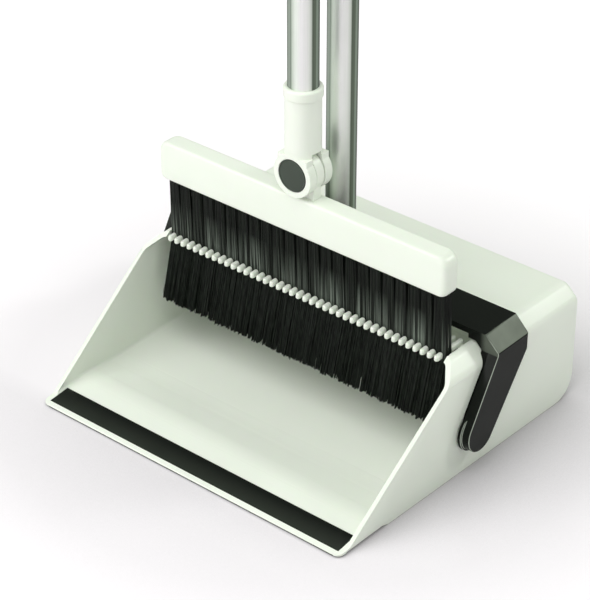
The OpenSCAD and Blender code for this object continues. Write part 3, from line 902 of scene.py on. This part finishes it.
def grip(name, node):
    """A hand grip with a row of fine grooves round its waist, bored for its tube and its hanging cap."""
    low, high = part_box(node)
    centre = ((low.x + high.x) / 2, (low.y + high.y) / 2, 0)
    outer = (high.x - low.x) / 2
    bore_top = low.z + GRIP_BORE_DEPTH
    cap_floor = high.z - GRIP_END
    profile = [(0, bore_top), (GRIP_BORE, bore_top), (GRIP_BORE, low.z)]
    foot = (outer - GRIP_FOOT_ROUND, low.z + GRIP_FOOT_ROUND)
    profile += arc(foot, GRIP_FOOT_ROUND, -90, 0, 4)
    z = low.z + GRIP_END
    while z < high.z - GRIP_END:
        waist = grip_radius(z - low.z - WAIST_HEIGHT, outer)
        bottom = waist - GROOVE_DEPTH
        profile += [(waist, z - GROOVE_MOUTH), (bottom, z - GROOVE_FLOOR)]
        profile += [(bottom, z + GROOVE_FLOOR), (waist, z + GROOVE_MOUTH)]
        z += GROOVE_PITCH
    profile += arc((outer - GRIP_TOP_ROUND, high.z - GRIP_TOP_ROUND), GRIP_TOP_ROUND, 0, 90, 5)
    profile += [(CAP_BORE, high.z), (CAP_BORE, cap_floor), (0, cap_floor)]
    bm = bmesh.new()
    add_lathe(bm, profile, "Z", centre)
    return finish_piece(name, bm, node, 40)


def grip_radius(height, outer):
    """The grip's radius at a height above its waist's middle."""
    sag = WAIST_RADIUS - math.sqrt(WAIST_RADIUS ** 2 - height ** 2)
    return min(outer, outer - WAIST_DEPTH + sag)


# ---------------------------------------------------------------- bristles

BRISTLE_SEED = 71
TUFT_COUNT = 23
STRANDS_PER_TUFT = 260
STRAND_RADIUS = 0.29 * MM
CLUMP_WIDTH = 2.1 * MM
ROOT_SPREAD = 0.37
FREE_SPREAD = 0.47
GAP_HALF = 0.86 * MM
LAST_GAP = FINGER_COUNT / 2
# Where the front and rear rows stand, from the block's middle, at the root, the comb and the tips
FRONT_ROW = (-1.9 * MM, -0.3 * MM, -13.2 * MM)
REAR_ROW = (6.2 * MM, 7.6 * MM, 9.6 * MM)


def bristles():
    """Separate filaments in tufts. They part round the comb's fingers, flare forwards and end unevenly."""
    rng = random.Random(BRISTLE_SEED)
    low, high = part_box("bristle_tufts")
    comb_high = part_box("cleaning_comb")[1]
    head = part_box("head_block")
    centre_y = (head[0].y + head[1].y) / 2
    half = high.x - 0.4 * MM
    pitch = 2 * half / TUFT_COUNT
    clumps = {}
    bm = bmesh.new()
    for tuft in range(TUFT_COUNT):
        middle = -half + pitch * (tuft + 0.5)
        for strand in range(STRANDS_PER_TUFT):
            side = rng.uniform(-1, 1)
            depth = rng.random() ** 2.2
            root_x = middle + side * pitch * ROOT_SPREAD
            free_x = middle + side * pitch * FREE_SPREAD
            gap = round(free_x / COMB_PITCH - 0.5) + 0.5
            gap_x = max(-LAST_GAP, min(LAST_GAP, gap)) * COMB_PITCH
            comb_x = gap_x + (free_x - gap_x) / COMB_PITCH * 2 * GAP_HALF
            key = round(free_x / CLUMP_WIDTH)
            if key not in clumps:
                clumps[key] = [rng.uniform(*reach) * MM for reach in ((-0.35, 0.35), (0, 1.8), (0, 1.5))]
            swing, rise, back = clumps[key]
            gather = (key * CLUMP_WIDTH - free_x) * 0.3
            end_x = free_x + gather + swing + rng.gauss(0, 0.12) * MM
            end_z = low.z + max(0.0, rise + rng.gauss(0.3, 0.3) * MM)
            columns = (root_x, free_x, comb_x, end_x)
            path = strand_path(rng, depth, centre_y, back, columns, (high.z, comb_high.z, end_z))
            add_strand(bm, path, STRAND_RADIUS, rng.uniform(0, math.pi / 2))
    return finish_piece("bristles", bm, "bristle_tufts", 80)


def strand_path(rng, depth, centre_y, back, columns, heights):
    """Points of one filament from its root, through the comb, to its tip."""
    root_x, free_x, comb_x, end_x = columns
    root_z, comb_z, end_z = heights
    root_y, comb_y, end_y = (centre_y + f + (r - f) * depth for f, r in zip(FRONT_ROW, REAR_ROW))
    end_y += back + rng.gauss(0, 0.25) * MM
    above = comb_z + 0.8 * MM
    below = comb_z - 6.2 * MM
    sway = rng.gauss(0, 0.06) * MM
    points = [
        (root_x, root_y, root_z),
        ((root_x + free_x) / 2 + sway, (root_y + comb_y) / 2, (root_z + above) / 2),
        (free_x, comb_y, above),
        (comb_x, comb_y, comb_z - 1.4 * MM),
        (comb_x, comb_y - 0.3 * MM, comb_z - 4.2 * MM),
        (free_x, comb_y + (end_y - comb_y) * 0.05, below),
        ((free_x + end_x) / 2 + sway, comb_y + (end_y - comb_y) * 0.52, (below + end_z) / 2),
        (end_x, end_y, end_z),
    ]
    return [Vector(p) for p in points]


def add_strand(bm, path, radius, twist):
    """A square filament along a path, narrower at its tip."""
    rings = []
    last = len(path) - 1
    for i, point in enumerate(path):
        r = radius * (1.0 if i < last else 0.8)
        ring = []
        for k in range(4):
            angle = twist + k * math.pi / 2
            x, y = point.x + r * math.cos(angle), point.y + r * math.sin(angle)
            ring.append(bm.verts.new((x, y, point.z)))
        rings.append(ring)
    join_rings(bm, rings)


# ---------------------------------------------------------------- build

def dress_cad_nodes():
    """Gives every CAD node its material, so those that stay in view are finished too."""
    for node, obj in NODES.items():
        obj.data.materials.clear()
        obj.data.materials.append(SLOT_MATERIALS[NODE_SLOT[node]])


def build():
    dress_cad_nodes()
    pan()
    comb()
    softened_copy("lip_strip", "lip_blade", 0.25 * MM, 2)
    softened_copy("floor_seal", "floor_wiper", 0.3 * MM, 2)
    bail()
    block()
    bristles()
    domed_cap("front_button", "swivel_front_cap", -1)
    domed_cap("rear_button", "swivel_rear_cap", 1)
    softened_copy("socket_fork", "swivel_socket", 0.35 * MM, 2, 35)
    softened_copy("tongue", "swivel_tongue", 0.5 * MM, 3, 40)
    softened_copy("foot_collar", "pole_collar", 0.8 * MM, 3, 40)
    grip("dustpan_handgrip", "dustpan_grip")
    grip("broom_handgrip", "broom_grip")
    for side in ("dustpan", "broom"):
        softened_copy(f"{side}_joint_band", f"{side}_coupler", 0.8 * MM, 3, 40)
        softened_copy(f"{side}_hanger", f"{side}_hang_cap", 0.9 * MM, 3, 40)


# ---------------------------------------------------------------- studio

LIGHT_DISTANCE = 2.0
# Name, azimuth and elevation in degrees, size in metres, power in watts, colour
SOFTBOXES = [
    ("key", -32, 30, 1.3, 16.5, (1.0, 1.0, 0.98)),
    ("top", 18, 62, 1.3, 13, (1.0, 1.0, 0.99)),
    ("rear", 140, 33, 0.3, 6.5, (0.97, 1.0, 0.95)),
    ("fill", 22, 14, 1.0, 1.8, (1.0, 1.0, 1.0)),
]
FLOOR_HALF = 30
FLOOR_DROP = 0.05 * MM
WORLD_COLOUR = (0.93, 1.0, 0.90, 1)
WORLD_STRENGTH = 0.55
WORLD_IN_REFLECTIONS = 0.30
# Distances from the middle over which the floor brightens, and its glow at either end
GLOW_RADII = (0.22, 0.55)
GLOW_LEVELS = (0.10, 0.45)


def studio():
    floor_and_world()
    for settings in SOFTBOXES:
        softbox(*settings)
    place_camera()
    bpy.context.scene.view_settings.view_transform = "Standard"


def softbox(name, azimuth, elevation, size, power, colour):
    """A square area light turned to the object."""
    light = bpy.data.lights.new(name, "AREA")
    light.shape = "SQUARE"
    light.size = size
    light.energy = power
    light.color = colour
    obj = bpy.data.objects.new(name, light)
    back = direction(azimuth, elevation)
    obj.location = CAMERA_AIM + back * LIGHT_DISTANCE
    obj.rotation_euler = back.to_track_quat("Z", "Y").to_euler()
    bpy.context.scene.collection.objects.link(obj)


def direction(azimuth, elevation):
    """The unit vector from the object towards a viewer; azimuth 0 is in front of the lip."""
    a, e = math.radians(azimuth), math.radians(elevation)
    return Vector((math.sin(a) * math.cos(e), -math.cos(a) * math.cos(e), math.sin(e)))


def floor_and_world():
    """A wide floor and an even world that is dimmer in reflections."""
    mesh = bpy.data.meshes.new("floor")
    half = FLOOR_HALF
    corners = [(-half, -half, 0), (half, -half, 0), (half, half, 0), (-half, half, 0)]
    mesh.from_pydata(corners, [], [(0, 1, 2, 3)])
    floor = bpy.data.objects.new("floor", mesh)
    floor.location.z = -FLOOR_DROP
    bpy.context.scene.collection.objects.link(floor)
    mesh.materials.append(floor_material())
    world = bpy.data.worlds.new("studio")
    world.use_nodes = True
    bpy.context.scene.world = world
    shade = world.node_tree.nodes["Background"]
    shade.inputs["Color"].default_value = WORLD_COLOUR
    tree = Nodes(world.node_tree)
    path = tree.add("ShaderNodeLightPath")
    reflected = path.outputs["Is Glossy Ray"]
    strength = tree.span(reflected, 0, 1, WORLD_STRENGTH, WORLD_IN_REFLECTIONS)
    tree.feed(shade.inputs["Strength"], strength)


def floor_material():
    """A pale satin floor, white around the object, with a painted shadow on its right and front."""
    material, tree, shader = new_material("floor")
    near = tree.add("ShaderNodeAmbientOcclusion", samples=8)
    near.inputs["Distance"].default_value = 0.32
    split = tree.add("ShaderNodeSeparateXYZ")
    tree.feed(split.inputs[0], tree.place())
    right = tree.span(split.outputs[0], -0.02, 0.14, 0, 1)
    front = tree.span(split.outputs[1], -0.135, -0.115, 1, 0)
    # Painted shadow: ambient occlusion darkens the floor's colour and its glow, only to the object's right
    # and in front of the lip
    occluded = tree.span(near.outputs["AO"], 0.42, 0.97, 0.52, 0)
    shade = tree.math("SUBTRACT", 1.0, tree.math("MULTIPLY", occluded, tree.math("MAXIMUM", right, front)))
    cloud = tree.noise(3, 2)
    colour = tree.mix(cloud, rgba((0.86, 0.81, 0.87)), rgba((0.87, 0.82, 0.88)))
    tree.feed(shader.inputs["Base Color"], tree.mix(shade, rgba((0, 0, 0)), colour))
    shader.inputs["Roughness"].default_value = 0.10
    shader.inputs["Specular IOR Level"].default_value = 0.1
    radius = tree.add("ShaderNodeVectorMath", operation="LENGTH")
    tree.feed(radius.inputs[0], tree.place())
    glow_level = tree.span(radius.outputs["Value"], *GLOW_RADII, *GLOW_LEVELS)
    glow = tree.add("ShaderNodeEmission")
    path = tree.add("ShaderNodeLightPath")
    glow_level = tree.math("MULTIPLY", glow_level, shade)
    tree.feed(glow.inputs["Strength"], tree.math("MULTIPLY", path.outputs["Is Camera Ray"], glow_level))
    both = tree.add("ShaderNodeAddShader")
    tree.feed(both.inputs[0], shader.outputs[0])
    tree.feed(both.inputs[1], glow.outputs[0])
    output = next(node for node in tree.tree.nodes if node.type == "OUTPUT_MATERIAL")
    tree.feed(output.inputs["Surface"], both.outputs[0])
    return material


def place_camera():
    data = bpy.data.cameras.new("camera")
    data.lens = CAMERA_LENS
    data.sensor_width = 36
    data.clip_end = 100
    camera = bpy.data.objects.new("camera", data)
    back = direction(CAMERA_AZIMUTH, CAMERA_ELEVATION)
    camera.location = CAMERA_AIM + back * CAMERA_DISTANCE
    camera.rotation_euler = back.to_track_quat("Z", "Y").to_euler()
    bpy.context.scene.collection.objects.link(camera)
    bpy.context.scene.camera = camera


build()
studio()
